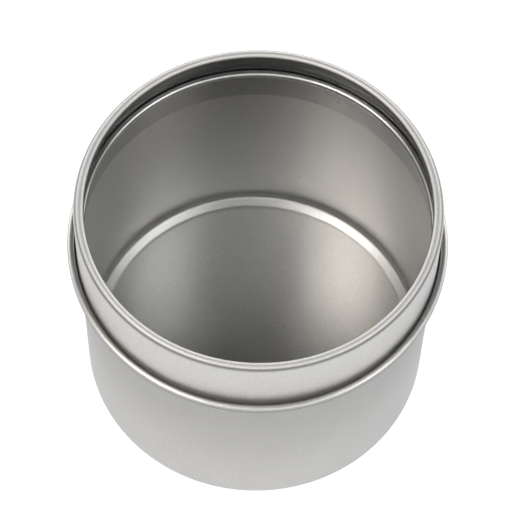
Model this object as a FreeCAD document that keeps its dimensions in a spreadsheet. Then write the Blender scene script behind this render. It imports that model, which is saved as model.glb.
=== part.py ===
import FreeCAD, Part
import Sketcher
import math
import os

# Round tin with a window lid: a deep drawn cup, a slip lid with a large opening, and a clear
# insert that closes the opening. Millimetres, +Z up, origin at the middle of the underside.
# Each piece is one sheet of even gauge turned about the Z axis. Its section is walked along one
# face of the sheet, as straight runs and tangent bends, and the other face lies one gauge away.

# Driving dimensions: name in the sheet, value, what it is
DIMENSIONS = [
    ("body_radius", 37.25, "outside of the cup's wall below the neck"),
    ("body_height", 55.4, "underside of the cup to the top of its rolled rim"),
    ("tin_gauge", 0.25, "thickness of the tinplate"),
    ("corner_radius", 1.7, "outside of the two bends that lead from the floor up to the wall"),
    ("band_length", 1.55, "sloping band between those two bends, along its slope"),
    ("band_slope", 30.0, "rise of the sloping band, in degrees"),
    ("neck_inset", 0.2, "step in from the wall to the neck that the lid slips over"),
    ("neck_height", 9.8, "top of the step to the top of the rolled rim"),
    ("step_radius", 0.35, "inside of the two small bends that make the step"),
    ("curl_radius", 0.8, "outside of the cup's rolled rim, in section"),
    ("curl_gap", 0.15, "raw edge of the rolled rim to the neck beside it"),
    ("slip_gap", 0.25, "neck to the inside of the lid's skirt"),
    ("headroom", 7.3, "top of the rolled rim to the top of the lid"),
    ("lid_height", 15.7, "top of the lid to the underside of its hem"),
    ("bead_radius", 0.95, "outside of the bead round the window opening, in section"),
    ("bead_turn", 150.5, "turn of the bead from the lip over to the crease, in degrees"),
    ("lip_depth", 2.0, "top of the lid to the raw edge inside the opening"),
    ("crease_radius", 0.06, "crease between the bead and the shoulder"),
    ("shoulder_slope", 40.0, "fall of the shoulder where it leaves the crease, in degrees"),
    ("shoulder_radius", 1.1, "shoulder from the crease to the skirt"),
    ("flare_radius", 1.73, "bend of the skirt's foot out to the hem"),
    ("flare_angle", 60.0, "turn of the skirt's foot out to the hem, in degrees"),
    ("hem_radius", 0.8, "outside of the hem's roll, in section"),
    ("hem_turn", 285.0, "turn of the hem's roll back to the skirt, in degrees"),
    ("window_gauge", 0.4, "thickness of the clear insert"),
    ("window_gap", 0.15, "insert to the inside of the lid's skirt"),
    ("window_corner", 0.9, "outside corner of the insert"),
    ("seat_gap", 0.3, "foot of the insert to the top of the rolled rim"),
]

QUARTER = "90 deg"

# How a sketch numbers the points of a line or arc, and its own two axes
START, END, CENTRE = 1, 2, 3
HORIZONTAL_AXIS, VERTICAL_AXIS = -1, -2

# Places that two pieces share, each worked out once from the driving dimensions
NECK_RADIUS = "(size.body_radius - size.neck_inset)"
SKIRT_BORE = f"({NECK_RADIUS} + size.slip_gap)"
SKIRT_RADIUS = f"({SKIRT_BORE} + size.tin_gauge)"
LID_TOP = "(size.body_height + size.headroom)"
INSERT_TOP = f"({LID_TOP} - size.lip_depth)"


def run(length):
    """A straight stretch of the section."""
    return ("run", length, None)


def left(radius, turn):
    """A bend to the left, with the radius of the walked face."""
    return ("left", radius, turn)


def right(radius, turn):
    """A bend to the right, with the radius of the walked face."""
    return ("right", radius, turn)


def fill_sheet(doc):
    """The spreadsheet that holds the driving dimensions."""
    sheet = doc.addObject("Spreadsheet::Sheet", "size")
    for row, (alias, value, meaning) in enumerate(DIMENSIONS, start=1):
        sheet.set(f"A{row}", meaning)
        sheet.set(f"B{row}", str(value))
        sheet.setAlias(f"B{row}", alias)
    doc.recompute()
    return sheet


def measure(sheet, expression):
    """An expression's present value, in millimetres or degrees."""
    found = sheet.evalExpression(expression)
    return float(getattr(found, "Value", found))


class Section:
    """A sheet's section in a sketch: the walked face, the other face and the two raw edges."""

    def __init__(self, sketch, sheet, gauge, metal_side):
        self.sketch = sketch
        self.sheet = sheet
        self.gauge = gauge
        self.metal_side = 1 if metal_side == "left" else -1

    def value(self, expression):
        return measure(self.sheet, expression)

    def fix(self, *constraint):
        """A constraint with no size of its own."""
        self.sketch.addConstraint(Sketcher.Constraint(*constraint))

    def size(self, expression, *constraint):
        """A constraint whose size follows the spreadsheet."""
        number = self.value(expression)
        if constraint[0] == "Angle":
            number = math.radians(number)
        index = self.sketch.addConstraint(Sketcher.Constraint(*constraint, number))
        self.sketch.setExpression(f"Constraints[{index}]", expression)

    def line(self, start, end):
        return self.sketch.addGeometry(Part.LineSegment(start, end))

    def arc(self, centre, radius, first, last):
        circle = Part.Circle(centre, FreeCAD.Vector(0, 0, 1), radius)
        low, high = sorted((first, last))
        return self.sketch.addGeometry(Part.ArcOfCircle(circle, low, high))

    def draw(self, start, heading, moves):
        """Walks the moves from a start point, going outward or upward."""
        angle = 0 if heading == "outward" else math.pi / 2
        point = FreeCAD.Vector(self.value(start[0]), self.value(start[1]))
        thickness = self.value(self.gauge)
        faces = []
        backs = []
        ends = []
        for kind, length, turn in moves:
            way = FreeCAD.Vector(math.cos(angle), math.sin(angle))
            normal = FreeCAD.Vector(-way.y, way.x)
            across = normal * self.metal_side * thickness
            if kind == "run":
                finish = point + way * self.value(length)
                faces.append(self.line(point, finish))
                backs.append(self.line(point + across, finish + across))
                ends.append((START, END))
                point = finish
                continue
            sign = 1 if kind == "left" else -1
            radius = self.value(length)
            centre = point + normal * sign * radius
            first = angle - sign * math.pi / 2
            last = first + sign * math.radians(self.value(turn))
            back_radius = radius - sign * self.metal_side * thickness
            faces.append(self.arc(centre, radius, first, last))
            backs.append(self.arc(centre, back_radius, first, last))
            ends.append((START, END) if sign > 0 else (END, START))
            point = centre + FreeCAD.Vector(math.cos(last), math.sin(last)) * radius
            angle = last + sign * math.pi / 2
        self.join(faces, ends)
        self.join(backs, ends)
        self.bind(faces, backs, moves)
        self.close(faces, backs, ends, moves, start, heading)

    def join(self, chain, ends):
        """Each stretch runs smoothly into the next."""
        for place in range(len(chain) - 1):
            finish = ends[place][1]
            begin = ends[place + 1][0]
            self.fix("Tangent", chain[place], finish, chain[place + 1], begin)

    def bind(self, faces, backs, moves):
        """Lengths, radii and turns follow the spreadsheet, and both faces of a bend share its centre."""
        for place, (kind, length, turn) in enumerate(moves):
            face = faces[place]
            back = backs[place]
            if kind == "run":
                self.size(length, "Distance", face)
                continue
            self.size(length, "Radius", face)
            self.size(turn, "Angle", face)
            self.size(turn, "Angle", back)
            if moves[place - 1][0] == "run":
                self.fix("Coincident", face, CENTRE, back, CENTRE)
                continue
            inside = (kind == "left") == (self.metal_side > 0)
            sign = "-" if inside else "+"
            self.size(f"{length} {sign} {self.gauge}", "Radius", back)

    def close(self, faces, backs, ends, moves, start, heading):
        """The raw edges, and the place and direction of the start."""
        along, across = "Horizontal", "Vertical"
        if heading == "upward":
            along, across = across, along
        self.fix(along, faces[0])
        self.fix(along, backs[0])
        if self.value(start[0]) == 0:
            self.fix("PointOnObject", faces[0], START, VERTICAL_AXIS)
        else:
            self.size(start[0], "DistanceX", HORIZONTAL_AXIS, START, faces[0], START)
        if self.value(start[1]) == 0:
            self.fix("PointOnObject", faces[0], START, HORIZONTAL_AXIS)
        else:
            self.size(start[1], "DistanceY", HORIZONTAL_AXIS, START, faces[0], START)
        first_edge = self.edge(faces[0], ends[0][0], backs[0])
        self.fix(across, first_edge)
        self.size(self.gauge, "Distance", first_edge)
        last_edge = self.edge(faces[-1], ends[-1][1], backs[-1])
        if moves[-1][0] == "run":
            self.fix("Perpendicular", last_edge, faces[-1])

    def edge(self, face, end, back):
        """A raw edge of the sheet, from one face to the other."""
        points = self.sketch.getPoint(face, end), self.sketch.getPoint(back, end)
        cut = self.line(*points)
        self.fix("Coincident", cut, START, face, end)
        self.fix("Coincident", cut, END, back, end)
        return cut


def turned_sheet(doc, sheet, label, height, gauge, metal_side, start, heading, moves):
    """A sub-part: a section turned once round the Z axis and set at its height."""
    body = doc.addObject("PartDesign::Body", label)
    body.Label = label
    sketch = body.newObject("Sketcher::SketchObject", f"{label}_section")
    plane = next(item for item in body.Origin.OriginFeatures if item.Role == "XZ_Plane")
    sketch.AttachmentSupport = (plane, [""])
    sketch.MapMode = "FlatFace"
    Section(sketch, sheet, gauge, metal_side).draw(start, heading, moves)
    doc.recompute()
    turned = body.newObject("PartDesign::Revolution", f"{label}_turned")
    turned.Profile = sketch
    turned.ReferenceAxis = (sketch, ["V_Axis"])
    turned.Angle = 360
    body.setExpression("Placement.Base.z", height)
    return body


def tin_body(doc, sheet):
    """The cup, along its outside: floor, sloping band, wall, step in to the neck, rolled rim."""
    step_reach = "(2 * size.step_radius + size.tin_gauge)"
    step_turn = f"acos(1 - size.neck_inset / {step_reach})"
    step_height = f"({step_reach} * sin({step_turn}))"
    slope = "(size.band_slope * 1 deg)"
    band_width = f"(size.corner_radius + size.band_length * cos({slope}))"
    band_height = f"(size.corner_radius + size.band_length * sin({slope}))"
    wall = f"size.body_height - size.neck_height - {step_height} - {band_height}"
    curl_reach = "(size.curl_radius - size.tin_gauge - size.curl_gap)"
    curl_turn = f"(360 deg - acos({curl_reach} / size.curl_radius))"
    moves = [
        run(f"size.body_radius - {band_width}"),
        left("size.corner_radius", slope),
        run("size.band_length"),
        left("size.corner_radius", f"({QUARTER} - {slope})"),
        run(wall),
        left("size.step_radius + size.tin_gauge", step_turn),
        right("size.step_radius", step_turn),
        run("size.neck_height - size.curl_radius"),
        left("size.curl_radius", curl_turn),
    ]
    start = ("0", "0")
    return turned_sheet(doc, sheet, "tin_body", "0", "size.tin_gauge", "left", start, "outward", moves)


def lid_ring(doc, sheet):
    """The lid, along its outside: lip, bead, crease, shoulder, skirt, flare and rolled hem.

    Its own zero is the top of the lid.
    """
    bead_turn = "(size.bead_turn * 1 deg)"
    slope = "(size.shoulder_slope * 1 deg)"
    crease_turn = f"({bead_turn} - {QUARTER} - {slope})"
    bead_width = f"size.bead_radius * (1 - cos({bead_turn}))"
    crease_width = f"size.crease_radius * (-cos({bead_turn}) - sin({slope}))"
    shoulder_width = f"size.shoulder_radius * (1 - sin({slope}))"
    opening = f"{SKIRT_RADIUS} - {shoulder_width} - {crease_width} - {bead_width}"
    bead_drop = f"size.bead_radius * (1 - sin({bead_turn}))"
    crease_drop = f"size.crease_radius * (cos({slope}) - sin({bead_turn}))"
    shoulder_drop = f"size.shoulder_radius * cos({slope})"
    hem_inside = "(size.hem_radius - size.tin_gauge)"
    flare = "size.flare_angle * 1 deg"
    flare_drop = f"size.flare_radius * sin({flare})"
    hem_drop = f"(size.hem_radius - {hem_inside} * sin({flare}))"
    skirt = (
        f"size.lid_height - {bead_drop} - {crease_drop} - {shoulder_drop}"
        f" - {flare_drop} - {hem_drop}"
    )
    moves = [
        run("size.lip_depth - size.bead_radius"),
        right("size.bead_radius", bead_turn),
        left("size.crease_radius", crease_turn),
        right("size.shoulder_radius", f"({QUARTER} - {slope})"),
        run(skirt),
        left("size.flare_radius", flare),
        left(hem_inside, "size.hem_turn * 1 deg"),
    ]
    start = (opening, "-size.lip_depth")
    return turned_sheet(doc, sheet, "lid_ring", LID_TOP, "size.tin_gauge", "right", start, "upward", moves)


def window(doc, sheet):
    """The clear insert, along its outside: flat pane, corner, and wall down to the tin's rim.

    Its own zero is the top of the pane.
    """
    wall_radius = f"({SKIRT_BORE} - size.window_gap)"
    drop = "(size.headroom - size.lip_depth - size.seat_gap)"
    moves = [
        run(f"{wall_radius} - size.window_corner"),
        right("size.window_corner", QUARTER),
        run(f"{drop} - size.window_corner"),
    ]
    start = ("0", "0")
    gauge = "size.window_gauge"
    return turned_sheet(doc, sheet, "window", INSERT_TOP, gauge, "right", start, "outward", moves)


def check(doc, pieces):
    """Stops if any feature failed or any piece isn't one sound solid."""
    for item in doc.Objects:
        if "Invalid" in item.State or "Error" in item.State:
            raise RuntimeError(f"{item.Name} failed: {item.State}")
    for piece in pieces:
        shape = piece.Shape
        if shape.isNull() or not shape.isValid() or len(shape.Solids) != 1:
            raise RuntimeError(f"{piece.Label} isn't one sound solid")
        box = shape.optimalBoundingBox()
        span = f"{box.XLength:.2f} mm across, z {box.ZMin:.2f} to {box.ZMax:.2f}"
        print(f"{piece.Label}: {shape.Volume:.1f} mm3, {span}")


def main():
    doc = FreeCAD.newDocument("window_lid_tin")
    sheet = fill_sheet(doc)
    pieces = [tin_body(doc, sheet), lid_ring(doc, sheet), window(doc, sheet)]
    doc.recompute()
    check(doc, pieces)
    os.makedirs("parts", exist_ok=True)
    for piece in pieces:
        piece.Shape.exportStep(f"parts/{piece.Label}.step")


main()
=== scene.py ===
# %% [markdown]
# # A round tin with a window lid
#
# The tin is three thin sheets: a deep drawn cup, a slip lid with a large opening, and a clear
# insert that closes the opening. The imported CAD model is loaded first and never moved. It gives
# the size and place of every piece, so nothing made here has to be fitted afterwards.

# %% Load the frame
import bpy
import math
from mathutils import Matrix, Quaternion, Vector


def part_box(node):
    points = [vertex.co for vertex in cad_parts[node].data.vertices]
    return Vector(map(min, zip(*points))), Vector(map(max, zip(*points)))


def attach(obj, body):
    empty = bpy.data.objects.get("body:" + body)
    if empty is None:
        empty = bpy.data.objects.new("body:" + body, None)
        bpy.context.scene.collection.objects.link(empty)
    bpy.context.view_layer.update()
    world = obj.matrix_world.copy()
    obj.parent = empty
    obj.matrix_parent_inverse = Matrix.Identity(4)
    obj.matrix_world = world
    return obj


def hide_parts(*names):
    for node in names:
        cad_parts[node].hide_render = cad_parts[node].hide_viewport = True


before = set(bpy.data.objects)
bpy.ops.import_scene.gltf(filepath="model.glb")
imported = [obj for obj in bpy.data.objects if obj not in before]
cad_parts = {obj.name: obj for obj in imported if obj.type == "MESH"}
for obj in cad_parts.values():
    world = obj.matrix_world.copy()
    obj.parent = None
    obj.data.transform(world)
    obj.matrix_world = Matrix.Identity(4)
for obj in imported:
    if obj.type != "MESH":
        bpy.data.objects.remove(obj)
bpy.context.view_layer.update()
MM = 0.001


# %% [markdown]
# ## Drawing a section
#
# A turned sheet could be modelled from a cylinder, with many rings scaled one by one. A lathe is
# truer to how such a tin is pressed: draw half of the section once, then spin it about the axis.
# The section starts as a plane merged to a single vertex. Extrude draws a straight run from it,
# and spinning that one vertex about a point beside it draws a bend.

# %% A pen for sections
OUTWARD = 0
UPWARD = 90
BEND_STEP = math.radians(9)
FEWEST_STEPS = 2
HOLD = 0.12 * MM
LONG_RUN = 6 * HOLD


class Pen:
    """Draws a section in the XZ plane of a new mesh, from one vertex, and keeps where it points."""

    def __init__(self, name, radius, height, heading):
        self.place = Vector((radius, 0, height))
        self.heading = math.radians(heading)
        bpy.ops.object.select_all(action="DESELECT")
        bpy.ops.mesh.primitive_plane_add(size=MM, location=self.place)
        bpy.ops.object.transform_apply(location=True, rotation=True, scale=True)
        self.piece = bpy.context.active_object
        self.piece.name = name
        self.piece.data.name = name
        bpy.ops.object.mode_set(mode="EDIT")
        bpy.ops.mesh.select_mode(type="VERT")
        bpy.ops.mesh.select_all(action="SELECT")
        bpy.ops.mesh.merge(type="CENTER")

    def step(self, length):
        move = Vector((math.cos(self.heading), 0, math.sin(self.heading))) * length
        bpy.ops.mesh.extrude_vertices_move(TRANSFORM_OT_translate={"value": move})
        self.place = self.place + move

    def run(self, length):
        """A straight run. A long one gets a ring close to each end, which keeps its shading flat."""
        if length < LONG_RUN:
            self.step(length)
            return
        self.step(HOLD)
        self.step(length - 2 * HOLD)
        self.step(HOLD)

    def bend(self, radius, turn):
        """A bend in degrees, to the left where the turn is positive and to the right where it isn't."""
        side = math.copysign(1, turn)
        angle = math.radians(abs(turn))
        to_centre = Vector((-math.sin(self.heading), 0, math.cos(self.heading))) * side * radius
        centre = self.place + to_centre
        steps = max(FEWEST_STEPS, round(angle / BEND_STEP))
        bpy.ops.mesh.spin(steps=steps, angle=angle, center=centre, axis=(0, side, 0))
        self.heading += side * angle
        away = Vector((math.sin(self.heading), 0, -math.cos(self.heading))) * side * radius
        self.place = centre + away


# %% [markdown]
# ## From section to sheet
#
# Spinning the whole section once round the axis gives a skin with no thickness. Doubles are merged
# along the seam and at the pole, and the normals are made to agree, before Solidify adds the gauge
# behind the skin. A small bevel then takes the sharpness off the raw edges.

# %% Turning a section into a sheet
ROUND = 240
SAME_POINT = 0.001 * MM
RAW_EDGE = 0.04 * MM
RAW_EDGE_STEPS = 2
RAW_EDGE_ANGLE = math.radians(60)
SMOOTH_ANGLE = math.radians(50)


def face_out(piece, lowest):
    """Turns the skin over if its lowest face doesn't look down, or its highest doesn't look up."""
    pick = min if lowest else max
    face = pick(piece.data.polygons, key=lambda polygon: polygon.center.z)
    if (face.normal.z > 0) == lowest:
        bpy.ops.object.mode_set(mode="EDIT")
        bpy.ops.mesh.select_all(action="SELECT")
        bpy.ops.mesh.flip_normals()
        bpy.ops.object.mode_set(mode="OBJECT")


def turn(pen, gauge, lowest=False):
    """Spins a finished section about the Z axis and gives the skin its gauge."""
    piece = pen.piece
    bpy.ops.mesh.select_all(action="SELECT")
    bpy.ops.mesh.spin(steps=ROUND, angle=2 * math.pi, center=(0, 0, 0), axis=(0, 0, 1))
    bpy.ops.mesh.select_all(action="SELECT")
    bpy.ops.mesh.remove_doubles(threshold=SAME_POINT)
    bpy.ops.mesh.normals_make_consistent(inside=False)
    bpy.ops.object.mode_set(mode="OBJECT")
    face_out(piece, lowest)
    bpy.ops.object.modifier_add(type="SOLIDIFY")
    sheet = piece.modifiers[-1]
    sheet.thickness = gauge
    sheet.offset = -1
    sheet.use_even_offset = True
    bpy.ops.object.modifier_apply(modifier=sheet.name)
    bpy.ops.object.modifier_add(type="BEVEL")
    edge = piece.modifiers[-1]
    edge.width = RAW_EDGE
    edge.segments = RAW_EDGE_STEPS
    edge.limit_method = "ANGLE"
    edge.angle_limit = RAW_EDGE_ANGLE
    bpy.ops.object.modifier_apply(modifier=edge.name)
    bpy.ops.object.shade_smooth_by_angle(angle=SMOOTH_ANGLE)
    print(piece.name, "has", len(piece.data.polygons), "faces")
    return piece


# %% [markdown]
# ## The cup
#
# The cup is drawn from one blank, so floor, wall, neck and rolled rim are one sheet. Its section
# runs along the outside, from the middle of the underside out and up. Between floor and wall lies a
# sloping band, which is the broad bright ring that shows inside. The step in to the neck is two
# small bends, and the rim rolls inward until it nearly meets the wall again.

# %% The cup
TIN_GAUGE = 0.25 * MM
QUARTER = 90
CORNER = 1.7 * MM
BAND = 1.55 * MM
BAND_SLOPE = 30
NECK_INSET = 0.2 * MM
NECK_HEIGHT = 9.8 * MM
STEP_RADIUS = 0.35 * MM
CURL = 0.8 * MM
CURL_GAP = 0.15 * MM
cup_low, cup_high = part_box("tin_body")

band_width = CORNER + BAND * math.cos(math.radians(BAND_SLOPE))
band_height = CORNER + BAND * math.sin(math.radians(BAND_SLOPE))
step_reach = 2 * STEP_RADIUS + TIN_GAUGE
step_turn = math.degrees(math.acos(1 - NECK_INSET / step_reach))
step_height = step_reach * math.sin(math.radians(step_turn))
curl_turn = 4 * QUARTER - math.degrees(math.acos((CURL - TIN_GAUGE - CURL_GAP) / CURL))

pen = Pen("tin_body_shell", 0, cup_low.z, OUTWARD)
pen.run(cup_high.x - band_width)
pen.bend(CORNER, BAND_SLOPE)
pen.run(BAND)
pen.bend(CORNER, QUARTER - BAND_SLOPE)
pen.run(cup_high.z - NECK_HEIGHT - step_height - band_height - cup_low.z)
pen.bend(STEP_RADIUS + TIN_GAUGE, step_turn)
pen.bend(STEP_RADIUS, -step_turn)
pen.run(NECK_HEIGHT - CURL)
pen.bend(CURL, curl_turn)
cup = turn(pen, TIN_GAUGE, lowest=True)

# %% [markdown]
# ## The lid
#
# The lid is one sheet too. From the raw edge inside the opening it goes up, rounds over a wide
# bead, meets the shoulder in a crease, and bends down into the skirt. The skirt's foot sweeps out
# and its edge rolls up and in, which makes the hem that fingers catch on. The crease and the middle
# of the hem's roll are kept, because shade is painted beside them.

# %% The lid
LIP_DEPTH = 2.0 * MM
BEAD = 0.95 * MM
BEAD_TURN = 150.5
CREASE = 0.06 * MM
SHOULDER = 1.1 * MM
SHOULDER_SLOPE = 40
FLARE = 1.73 * MM
FLARE_TURN = 60
HEM = 0.8 * MM
HEM_TURN = 285
INSERT_GAP = 0.15 * MM
lid_low, lid_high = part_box("lid_ring")
insert_low, insert_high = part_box("window")

skirt_radius = insert_high.x + INSERT_GAP + TIN_GAUGE
bead_side = math.sin(math.radians(BEAD_TURN - QUARTER))
slope_sine = math.sin(math.radians(SHOULDER_SLOPE))
bead_width = BEAD * (1 + bead_side)
crease_width = CREASE * (bead_side - slope_sine)
shoulder_width = SHOULDER * (1 - slope_sine)
opening_radius = skirt_radius - shoulder_width - crease_width - bead_width
hem_inside = HEM - TIN_GAUGE
flare_sine = math.sin(math.radians(FLARE_TURN))
flare_cosine = math.cos(math.radians(FLARE_TURN))
foot_height = FLARE * flare_sine + HEM - hem_inside * flare_sine

pen = Pen("lid_ring_shell", opening_radius, lid_high.z - LIP_DEPTH, UPWARD)
pen.run(LIP_DEPTH - BEAD)
pen.bend(BEAD, -BEAD_TURN)
crease_at = pen.place.copy()
pen.bend(CREASE, BEAD_TURN - QUARTER - SHOULDER_SLOPE)
pen.bend(SHOULDER, SHOULDER_SLOPE - QUARTER)
pen.run(pen.place.z - lid_low.z - foot_height)
pen.bend(FLARE, FLARE_TURN)
hem_middle = pen.place + hem_inside * Vector((flare_cosine, 0, flare_sine))
pen.bend(hem_inside, HEM_TURN)
lid = turn(pen, TIN_GAUGE)

# %% [markdown]
# ## The clear insert
#
# The window is a shallow cap of clear sheet, pressed up into the lid so that its pane lies under
# the lip and its wall stands just above the tin's rim.

# %% The clear insert
INSERT_GAUGE = 0.4 * MM
INSERT_CORNER = 0.9 * MM

pen = Pen("window_pane", 0, insert_high.z, OUTWARD)
pen.run(insert_high.x - INSERT_CORNER)
pen.bend(INSERT_CORNER, -QUARTER)
pen.run(insert_high.z - INSERT_CORNER - insert_low.z)
window = turn(pen, INSERT_GAUGE)

# %% [markdown]
# ## Nodes in one line
#
# A finish is a small network of nodes. A few helpers keep it readable: one adds a node and sets its
# sockets, two do a sum on numbers or on vectors, and one fades from one level to another. Each
# socket is given a number or another node's output, and an output is linked.

# %% Helpers for nodes


def fill(tree, socket, value):
    """Links an output to the socket, or sets the socket to a plain value."""
    if isinstance(value, bpy.types.NodeSocket):
        tree.links.new(value, socket)
    else:
        socket.default_value = value


def add_node(tree, kind, settings=None, **sockets):
    """Adds a node, sets its own options, then fills its named sockets with numbers or links."""
    made = tree.nodes.new(kind)
    for option, value in (settings or {}).items():
        setattr(made, option, value)
    for socket, value in sockets.items():
        fill(tree, made.inputs[socket.replace("_", " ")], value)
    return made


def result_of(tree, kind, operation, terms):
    """The first output of a node that does one operation on its terms."""
    made = add_node(tree, kind, {"operation": operation})
    for socket, term in zip(made.inputs, terms):
        fill(tree, socket, term)
    return made.outputs[0]


def sum_of(tree, operation, *terms):
    """The result of a Math node."""
    return result_of(tree, "ShaderNodeMath", operation, terms)


def vector_of(tree, operation, *terms):
    """The result of a Vector Math node."""
    return result_of(tree, "ShaderNodeVectorMath", operation, terms)


def blend_between(tree, value, low, high, to_low=0.0, to_high=1.0):
    """A soft change from one level to another while the value goes from low to high."""
    fade = add_node(tree, "ShaderNodeMapRange", {"interpolation_type": "SMOOTHSTEP"}, Value=value)
    for socket, level in [("From Min", low), ("From Max", high), ("To Min", to_low), ("To Max", to_high)]:
        fade.inputs[socket].default_value = level
    return fade.outputs["Result"]


# %% [markdown]
# ## Where a point lies
#
# Every piece is turned about the Z axis, so two measures say which part of it a point is on: how far
# the point is from the axis, and how high it is. Both come from object coordinates, which need no
# unwrapping and have no seam. Noise is moved down by a half, so that it swings evenly about zero.

# %% Place and noise
HALF = 0.5


def ring_place(tree, place):
    """Distance from the axis, and height, of a point on a turned piece."""
    apart = add_node(tree, "ShaderNodeSeparateXYZ", Vector=place)
    across = sum_of(tree, "MULTIPLY", apart.outputs["X"], apart.outputs["X"])
    along = sum_of(tree, "MULTIPLY", apart.outputs["Y"], apart.outputs["Y"])
    radius = sum_of(tree, "SQRT", sum_of(tree, "ADD", across, along))
    return radius, apart.outputs["Z"]


def noise(tree, place, scale, detail):
    made = add_node(tree, "ShaderNodeTexNoise", Vector=place, Scale=scale, Detail=detail)
    return sum_of(tree, "SUBTRACT", made.outputs["Fac"], HALF)


# %% [markdown]
# ## Satin tinplate
#
# Tinplate is thin steel with a coat of tin that is left matt. Seen close it has a fine grain, broad
# faint clouds where the coat is a little thicker, and lines left by the press. A picture of
# scratched metal could be wrapped on, but three noises do the same and hold up at any distance. They
# change the colour a little, the roughness more, and the height through a Bump node. The lines, the
# tone and the plain roughness differ between cup and lid, so each piece brings its own functions.

# %% Satin tinplate
DULL_TIN = (0.625, 0.62, 0.61, 1)
BRIGHT_TIN = (0.775, 0.77, 0.76, 1)
GRAIN_SCALE = 2600
GRAIN_DETAIL = 4
CLOUD_SCALE = 110
CLOUD_DETAIL = 3
GRAIN_IN_COLOUR = 3.5
MOTTLE = 0.5
GRAIN_ROUGHNESS = 0.16
LINE_ROUGHNESS = 0.06
CLOUD_ROUGHNESS = 0.06
LINE_HEIGHT = 0.25
BUMP = 0.5
BUMP_DEPTH = 0.025 * MM


def mottled_colour(tree, grain, cloud):
    """A colour between dull and bright tin, by the grain and the clouds."""
    mottle = sum_of(tree, "MULTIPLY_ADD", grain, GRAIN_IN_COLOUR, cloud)
    colour = add_node(tree, "ShaderNodeMix", {"data_type": "RGBA"}, A=DULL_TIN, B=BRIGHT_TIN)
    fill(tree, colour.inputs["Factor"], sum_of(tree, "MULTIPLY_ADD", mottle, MOTTLE, HALF))
    return colour.outputs["Result"]


def satin(name, press_lines, tone, roughness):
    """Matt tinplate with a piece's own press lines, tone and plain roughness."""
    material = bpy.data.materials.new(name)
    material.use_nodes = True
    tree = material.node_tree
    shader = tree.nodes["Principled BSDF"]
    shader.inputs["Metallic"].default_value = 1
    place = tree.nodes.new("ShaderNodeTexCoord").outputs["Object"]
    grain = noise(tree, place, GRAIN_SCALE, GRAIN_DETAIL)
    cloud = noise(tree, place, CLOUD_SCALE, CLOUD_DETAIL)
    lines = press_lines(tree, place)
    toned = vector_of(tree, "MULTIPLY", mottled_colour(tree, grain, cloud), tone(tree, place))
    fill(tree, shader.inputs["Base Color"], toned)
    matt = sum_of(tree, "MULTIPLY_ADD", grain, GRAIN_ROUGHNESS, roughness(tree, place))
    matt = sum_of(tree, "MULTIPLY_ADD", lines, LINE_ROUGHNESS, matt)
    matt = sum_of(tree, "MULTIPLY_ADD", cloud, CLOUD_ROUGHNESS, matt)
    fill(tree, shader.inputs["Roughness"], matt)
    height = sum_of(tree, "MULTIPLY_ADD", lines, LINE_HEIGHT, grain)
    bump = add_node(tree, "ShaderNodeBump", Strength=BUMP, Distance=BUMP_DEPTH, Height=height)
    fill(tree, shader.inputs["Normal"], bump.outputs["Normal"])
    print(name, "has", len(tree.nodes), "nodes")
    return material


# %% [markdown]
# ## Lines on the cup
#
# Drawing leaves faint lines up the wall, while the floor keeps the straight grain of the rolled
# sheet. The wall's noise is squeezed round the axis and stretched in height, the floor's is
# stretched along one direction, and the height of the point chooses between the two.

# %% Lines on the cup
LINE_SCALE = 1100
LINE_DETAIL = 2
LINE_STRETCH = 0.03
FLOOR_LINES_TO = 0.3 * MM


def drawn_lines(tree, place):
    height = ring_place(tree, place)[1]
    outward = vector_of(tree, "NORMALIZE", vector_of(tree, "MULTIPLY", place, (1, 1, 0)))
    round_wall = vector_of(tree, "MULTIPLY", outward, (cup_high.x, cup_high.x, 0))
    tall = add_node(tree, "ShaderNodeCombineXYZ", Z=sum_of(tree, "MULTIPLY", height, LINE_STRETCH))
    wall = vector_of(tree, "ADD", round_wall, tall.outputs[0])
    rolled = vector_of(tree, "MULTIPLY", place, (1, LINE_STRETCH, 1))
    choice = add_node(tree, "ShaderNodeMix", {"data_type": "VECTOR"}, A=rolled, B=wall)
    fill(tree, choice.inputs["Factor"], blend_between(tree, height, FLOOR_LINES_TO, band_height))
    return noise(tree, choice.outputs["Result"], LINE_SCALE, LINE_DETAIL)


# %% [markdown]
# ## The cup's finish
#
# The die that presses in the neck burnishes it, so above the step the metal is smoother. There the
# colour is also darkened as painted shade, since the neck sits inside the lid, and the rolled rim
# over it is lightened as a painted highlight. Outside, painted shade darkens the wall little by
# little from near its foot up to the hem. All three changes follow the height of the point, and the
# last one its distance from the axis too, so that the inside of the wall stays as it is.

# %% The cup's finish
CUP_MATT = 0.37
NECK_MATT = 0.31
# Painted shade: above the step the colour falls to this share of the plain tone.
NECK_SHADE_TONE = 0.7
NECK_FADE = 0.4 * MM
# Painted highlight: this much is added to the tone of the rolled rim.
RIM_HIGHLIGHT = 0.5
# Painted shade on the outside of the wall, deepest under the hem.
HEM_SHADE = 0.25
HEM_SHADE_FROM = 4 * MM
step_at = cup_high.z - NECK_HEIGHT
rim_at = cup_high.z - 2 * CURL


def cup_roughness(tree, place):
    height = ring_place(tree, place)[1]
    return blend_between(tree, height, step_at - NECK_FADE, step_at, CUP_MATT, NECK_MATT)


def cup_tone(tree, place):
    radius, height = ring_place(tree, place)
    # Painted shade on the neck, and a painted highlight on the rolled rim.
    neck = blend_between(tree, height, step_at - NECK_FADE, step_at, 1, NECK_SHADE_TONE)
    rim = blend_between(tree, height, rim_at, rim_at + CURL / 2, 0, RIM_HIGHLIGHT)
    outside = blend_between(tree, radius, cup_high.x - TIN_GAUGE, cup_high.x)
    # Painted shade under the hem, growing from near the foot of the wall.
    shade = blend_between(tree, height, HEM_SHADE_FROM, step_at, 0, HEM_SHADE)
    tone = sum_of(tree, "ADD", neck, rim)
    return sum_of(tree, "SUBTRACT", tone, sum_of(tree, "MULTIPLY", outside, shade))


cup.data.materials.append(satin("satin_tinplate", drawn_lines, cup_tone, cup_roughness))
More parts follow.
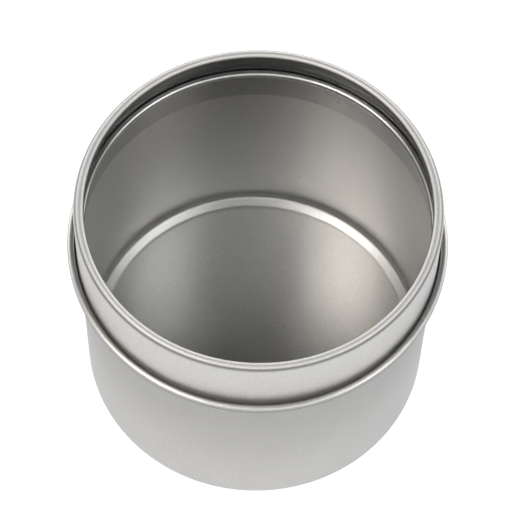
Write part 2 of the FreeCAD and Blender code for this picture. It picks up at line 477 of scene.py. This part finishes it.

# %% [markdown]
# ## Lines and painted shade on the lid
#
# The lid was spun while its bead and hem were curled, so its lines run round it. A noise that reads
# only the distance from the axis and the height gives true rings. Shade is painted into the colour
# where light hardly reaches: in the crease, in the valley where the hem's edge tucks in, and under
# the hem's roll. Each such place is a ring, and the painted shade fades with the distance from it.

# %% Lines and painted shade on the lid
RING_SCALE = 2400
RING_DETAIL = 2
# Painted shade: how far each shaded ring reaches and how deep it goes.
CREASE_REACH = 0.5 * MM
CREASE_SHADE = 0.65
VALLEY_REACH = 0.4 * MM
VALLEY_SHADE = 0.9
TUCK_REACH = 0.55 * MM
TUCK_SHADE = 0.8
UNDER_REACH = 1.1 * MM
UNDER_SHADE = 1.0
valley_at = hem_middle + Vector((-0.7, 0, 0.4)) * MM
tuck_at = hem_middle + Vector((-0.35, 0, 0.7)) * MM
under_at = hem_middle + Vector((0.7, 0, -0.38)) * MM


def curled_lines(tree, place):
    radius, height = ring_place(tree, place)
    across = add_node(tree, "ShaderNodeCombineXYZ", X=radius, Z=height)
    return noise(tree, across.outputs[0], RING_SCALE, RING_DETAIL)


def near_ring(tree, place, ring, reach, shade):
    """A shade that is deepest on a ring of the lid and fades out within its reach."""
    radius, height = ring_place(tree, place)
    aside = sum_of(tree, "SUBTRACT", radius, ring.x)
    above = sum_of(tree, "SUBTRACT", height, ring.z)
    squares = sum_of(tree, "MULTIPLY_ADD", aside, aside, sum_of(tree, "MULTIPLY", above, above))
    return blend_between(tree, sum_of(tree, "SQRT", squares), 0, reach, shade, 0)


def painted_shade_rings(tree, place):
    """Painted shade beside the crease and the hem."""
    return [
        near_ring(tree, place, crease_at, CREASE_REACH, CREASE_SHADE),
        near_ring(tree, place, valley_at, VALLEY_REACH, VALLEY_SHADE),
        near_ring(tree, place, tuck_at, TUCK_REACH, TUCK_SHADE),
        near_ring(tree, place, under_at, UNDER_REACH, UNDER_SHADE),
    ]


# %% [markdown]
# ## The lid's finish
#
# Handling rubs the bead, so it's rougher and shines more broadly than the skirt. Inside, shade is
# painted on the lid, both up the skirt and on the side of the lip that faces in. The darkest of all
# these painted shades is taken off the lid's plain tone.

# %% The lid's finish
LID_MATT = 0.38
BEAD_MATT = 0.57
LID_TONE = 1.14
# Painted shade inside the lid: its depth, and where it is full and where it fades.
INSIDE_SHADE = 0.85
SKIRT_DARK = 2.3 * MM
SKIRT_LIGHT = 1.6 * MM
LIP_SIDE = 0.25 * BEAD
LIP_FADE = 0.3 * BEAD
LIP_DARK = 0.7 * BEAD
LIP_LIGHT = 0.25 * BEAD
lip_edge = opening_radius + LIP_SIDE


def lid_roughness(tree, place):
    height = ring_place(tree, place)[1]
    return blend_between(tree, height, lid_high.z - BEAD, lid_high.z - BEAD / 2, LID_MATT, BEAD_MATT)


def lid_inside(tree, place):
    """Painted shade up the inside of the skirt, and on the inner side of the lip."""
    radius, height = ring_place(tree, place)
    behind = blend_between(tree, radius, skirt_radius - TIN_GAUGE, skirt_radius, INSIDE_SHADE, 0)
    under = blend_between(tree, height, lid_high.z - SKIRT_DARK, lid_high.z - SKIRT_LIGHT, 1, 0)
    facing_in = blend_between(tree, radius, lip_edge, lip_edge + LIP_FADE, INSIDE_SHADE, 0)
    lower = blend_between(tree, height, lid_high.z - LIP_DARK, lid_high.z - LIP_LIGHT, 1, 0)
    return [sum_of(tree, "MULTIPLY", behind, under), sum_of(tree, "MULTIPLY", facing_in, lower)]


def lid_tone(tree, place):
    darkest, *others = painted_shade_rings(tree, place) + lid_inside(tree, place)
    for shade in others:
        darkest = sum_of(tree, "MAXIMUM", darkest, shade)
    return sum_of(tree, "SUBTRACT", LID_TONE, darkest)


lid.data.materials.append(satin("satin_lid_tinplate", curled_lines, lid_tone, lid_roughness))

# %% [markdown]
# ## The clear sheet
#
# The pane is thin enough that light goes straight through, so true refraction would only add noise.
# A Transparent shader lets the light by and a glossy one takes the share that Fresnel gives it, on
# the outer face only, or each pane would shine twice. A few specks of dust, cut out of a Voronoi
# pattern, say that there is a window at all.

# %% The clear sheet
CLEAR_TINT = (0.965, 0.97, 0.97, 1)
SHINE = (0.9, 0.9, 0.9, 1)
SHEET_IOR = 1.5
SMOOTHNESS = 0.07
HAZE = 0.06
HAZE_SCALE = 260
HAZE_DETAIL = 3
DUST_SCALE = 230
DUST_SIZE = 0.035
DUST_SHARE = 0.8
DUST_COVER = 0.5


def dust_specks(tree, place):
    """Small spots in a few of the cells of a Voronoi pattern."""
    specks = add_node(tree, "ShaderNodeTexVoronoi", Vector=place, Scale=DUST_SCALE)
    spot = sum_of(tree, "LESS_THAN", specks.outputs["Distance"], DUST_SIZE)
    pick = sum_of(tree, "GREATER_THAN", specks.outputs["Color"], DUST_SHARE)
    return sum_of(tree, "MULTIPLY", sum_of(tree, "MULTIPLY", spot, pick), DUST_COVER)


def outer_shine(tree):
    """Fresnel's share of reflection, on the outer face only."""
    fresnel = add_node(tree, "ShaderNodeFresnel", IOR=SHEET_IOR)
    inner = tree.nodes.new("ShaderNodeNewGeometry").outputs["Backfacing"]
    return sum_of(tree, "MULTIPLY", fresnel.outputs[0], sum_of(tree, "SUBTRACT", 1, inner))


def clear_sheet(name):
    material = bpy.data.materials.new(name)
    material.use_nodes = True
    tree = material.node_tree
    gloss = tree.nodes["Principled BSDF"]
    gloss.inputs["Base Color"].default_value = SHINE
    gloss.inputs["Metallic"].default_value = 1
    place = tree.nodes.new("ShaderNodeTexCoord").outputs["Object"]
    haze = noise(tree, place, HAZE_SCALE, HAZE_DETAIL)
    fill(tree, gloss.inputs["Roughness"], sum_of(tree, "MULTIPLY_ADD", haze, HAZE, SMOOTHNESS))
    clear = add_node(tree, "ShaderNodeBsdfTransparent", Color=CLEAR_TINT)
    share = sum_of(tree, "MAXIMUM", outer_shine(tree), dust_specks(tree, place))
    mix = add_node(tree, "ShaderNodeMixShader", Fac=share)
    tree.links.new(clear.outputs[0], mix.inputs[1])
    tree.links.new(gloss.outputs[0], mix.inputs[2])
    tree.links.new(mix.outputs[0], tree.nodes["Material Output"].inputs["Surface"])
    print(name, "has", len(tree.nodes), "nodes")
    return material


window.data.materials.append(clear_sheet("clear_sheet"))

# %% [markdown]
# ## Riding
#
# Each piece stands for one CAD node and moves with that node's body. The cup stays on the table,
# and the lid takes its window along when it lifts.

# %% Riding
for piece, body, node, slot in [
    (cup, "tin", "tin_body", "tinplate"),
    (lid, "lid", "lid_ring", "lid_tinplate"),
    (window, "lid", "window", "clear_window"),
]:
    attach(piece, body)
    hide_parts(node)
    print(piece.name, "rides on", body)

# %% [markdown]
# ## The table
#
# The tin was photographed on white paper. The paper is a plain matt disc, a hair below the base.
# What the camera and the metal see of it is lifted to white by a little glow that lights nothing,
# so the paper keeps the shadow and the tin isn't overlit.

# %% The table
PAPER_RADIUS = 3
PAPER_SIDES = 96
PAPER_DROP = 0.02 * MM
PAPER_GREY = (0.5, 0.5, 0.5, 1)
PAPER_GLOW = (0.965, 0.98, 1, 1)
CAMERA_GLOW = 0.84
METAL_GLOW = 0.42

bpy.ops.object.select_all(action="DESELECT")
bpy.ops.mesh.primitive_circle_add(
    vertices=PAPER_SIDES, radius=PAPER_RADIUS, fill_type="NGON", location=(0, 0, -PAPER_DROP)
)
floor = bpy.context.active_object
floor.name = "white_table"


def seen_directly(tree, by_camera, by_metal):
    """A glow for what the camera sees, also in metal or through the window, and none for lighting."""
    path = tree.nodes.new("ShaderNodeLightPath").outputs
    straight = sum_of(tree, "MAXIMUM", path["Is Camera Ray"], path["Is Transmission Ray"])
    shine = sum_of(tree, "MULTIPLY", path["Is Glossy Ray"], by_metal)
    return sum_of(tree, "MAXIMUM", sum_of(tree, "MULTIPLY", straight, by_camera), shine)


paper = bpy.data.materials.new("white_paper")
paper.use_nodes = True
matt = paper.node_tree.nodes["Principled BSDF"]
matt.inputs["Base Color"].default_value = PAPER_GREY
matt.inputs["Roughness"].default_value = 1
matt.inputs["Specular IOR Level"].default_value = 0
matt.inputs["Emission Color"].default_value = PAPER_GLOW
lift = seen_directly(paper.node_tree, CAMERA_GLOW, METAL_GLOW)
fill(paper.node_tree, matt.inputs["Emission Strength"], lift)
floor.data.materials.append(paper)
print(floor.name, "is", 2 * PAPER_RADIUS, "metres across")

# %% [markdown]
# ## The room
#
# Metal shows its surroundings, so the room matters more than the lamps' brightness. A white sweep
# stands behind the tin. It is brightest low down and fades out a little past half way to the
# zenith. In front the room gives less than a third of that, and overhead it's dark, which makes the
# dark band that runs from front to back through the inside. The camera itself sees plain white.

# %% The room
WHITE = (1, 1, 1, 1)
ROOM_DIM = 0.02
SWEEP_GLOW = 1.85
SWEEP_FULL = 0.25
SWEEP_END = 0.8
FRONT_SHARE = 0.3
BEHIND_FULL = 0.65

room = bpy.data.worlds.new("photo_room")
bpy.context.scene.world = room
room.use_nodes = True
tree = room.node_tree
sky = tree.nodes["Background"]
direction = tree.nodes.new("ShaderNodeTexCoord").outputs["Generated"]
way = add_node(tree, "ShaderNodeSeparateXYZ", Vector=direction)
low = blend_between(tree, way.outputs["Z"], SWEEP_FULL, SWEEP_END, 1, 0)
behind = blend_between(tree, way.outputs["Y"], 0, BEHIND_FULL, FRONT_SHARE, 1)
sweep = sum_of(tree, "MULTIPLY", sum_of(tree, "MULTIPLY", low, behind), SWEEP_GLOW)
level = sum_of(tree, "ADD", sweep, ROOM_DIM)
camera_ray = tree.nodes.new("ShaderNodeLightPath").outputs["Is Camera Ray"]
fill(tree, sky.inputs["Strength"], sum_of(tree, "MAXIMUM", camera_ray, level))
sky.inputs["Color"].default_value = WHITE
print("room goes from", ROOM_DIM, "overhead to", ROOM_DIM + SWEEP_GLOW, "at the sweep")

# %% [markdown]
# ## Two softboxes and a card
#
# The bright sides of the inside come from two softboxes, left and right, both a little in front and
# well above the tin. The left one is warmer and stronger. A long dim card in front lights the skirt
# and the near side of the bead. Each is an area lamp, placed by the direction that it shines from.
# A lamp's power is spread over its face, so it's worked out from how bright the face should look.

# %% Two softboxes and a card
LAMP_REACH = 0.7
TIN_MIDDLE = Vector((0, 0, 40 * MM))
WARM = (1, 0.935, 0.87)
FAINTLY_WARM = (1, 0.985, 0.98)
NEUTRAL = (1, 1, 1)


def softbox(name, azimuth, elevation, size, brightness, colour):
    """An oval lamp that faces the tin. Its brightness is that of its face, where 1 is white."""
    across = math.cos(math.radians(elevation))
    way = Vector((
        across * math.cos(math.radians(azimuth)),
        across * math.sin(math.radians(azimuth)),
        math.sin(math.radians(elevation)),
    ))
    bpy.ops.object.light_add(type="AREA", location=TIN_MIDDLE + way * LAMP_REACH)
    lamp = bpy.context.active_object
    lamp.name = name
    lamp.data.shape = "ELLIPSE"
    lamp.data.size, lamp.data.size_y = size
    face = math.pi / 4 * size[0] * size[1]
    lamp.data.energy = brightness * math.pi * face
    lamp.data.color = colour
    lamp.rotation_mode = "QUATERNION"
    lamp.rotation_quaternion = (-way).to_track_quat("-Z", "Y")
    lamp.visible_camera = False
    print(name, "gives", round(lamp.data.energy, 2), "watts")


softbox("left_softbox", azimuth=-154, elevation=57, size=(0.42, 0.34), brightness=4.6, colour=WARM)
softbox("right_softbox", azimuth=-23, elevation=50, size=(0.46, 0.28), brightness=3.4, colour=FAINTLY_WARM)
softbox("front_card", azimuth=-90, elevation=47, size=(0.9, 0.26), brightness=1.4, colour=NEUTRAL)

# %% [markdown]
# ## The camera
#
# The photograph looks down steeply from the front, with a long lens, and leans a little to one side.
# Its focal length is known in pixels of the picture, from how the rings of the tin shrink with
# distance, and Blender wants millimetres of sensor, so one is turned into the other. The camera
# stands at a distance along the line of sight, and the lean is a turn about that line.

# %% The camera
FOCAL_PIXELS = 2366
IMAGE_WIDTH = 513
SENSOR = 36
AIM = Vector((-0.12, 0, 37.45)) * MM
DISTANCE = 500 * MM
ELEVATION = math.radians(61.8)
ROLL = math.radians(1.67)

lens = bpy.data.cameras.new("photo_camera")
lens.sensor_fit = "HORIZONTAL"
lens.sensor_width = SENSOR
lens.lens = FOCAL_PIXELS * SENSOR / IMAGE_WIDTH
camera = bpy.data.objects.new("photo_camera", lens)
bpy.context.scene.collection.objects.link(camera)
back = Vector((0, -math.cos(ELEVATION), math.sin(ELEVATION)))
camera.location = AIM + back * DISTANCE
camera.rotation_mode = "QUATERNION"
camera.rotation_quaternion = (-back).to_track_quat("-Z", "Y") @ Quaternion((0, 0, 1), ROLL)
bpy.context.scene.camera = camera
bpy.context.scene.view_settings.view_transform = "Standard"
print("lens of", round(lens.lens), "millimetres at", round(DISTANCE / MM), "millimetres")
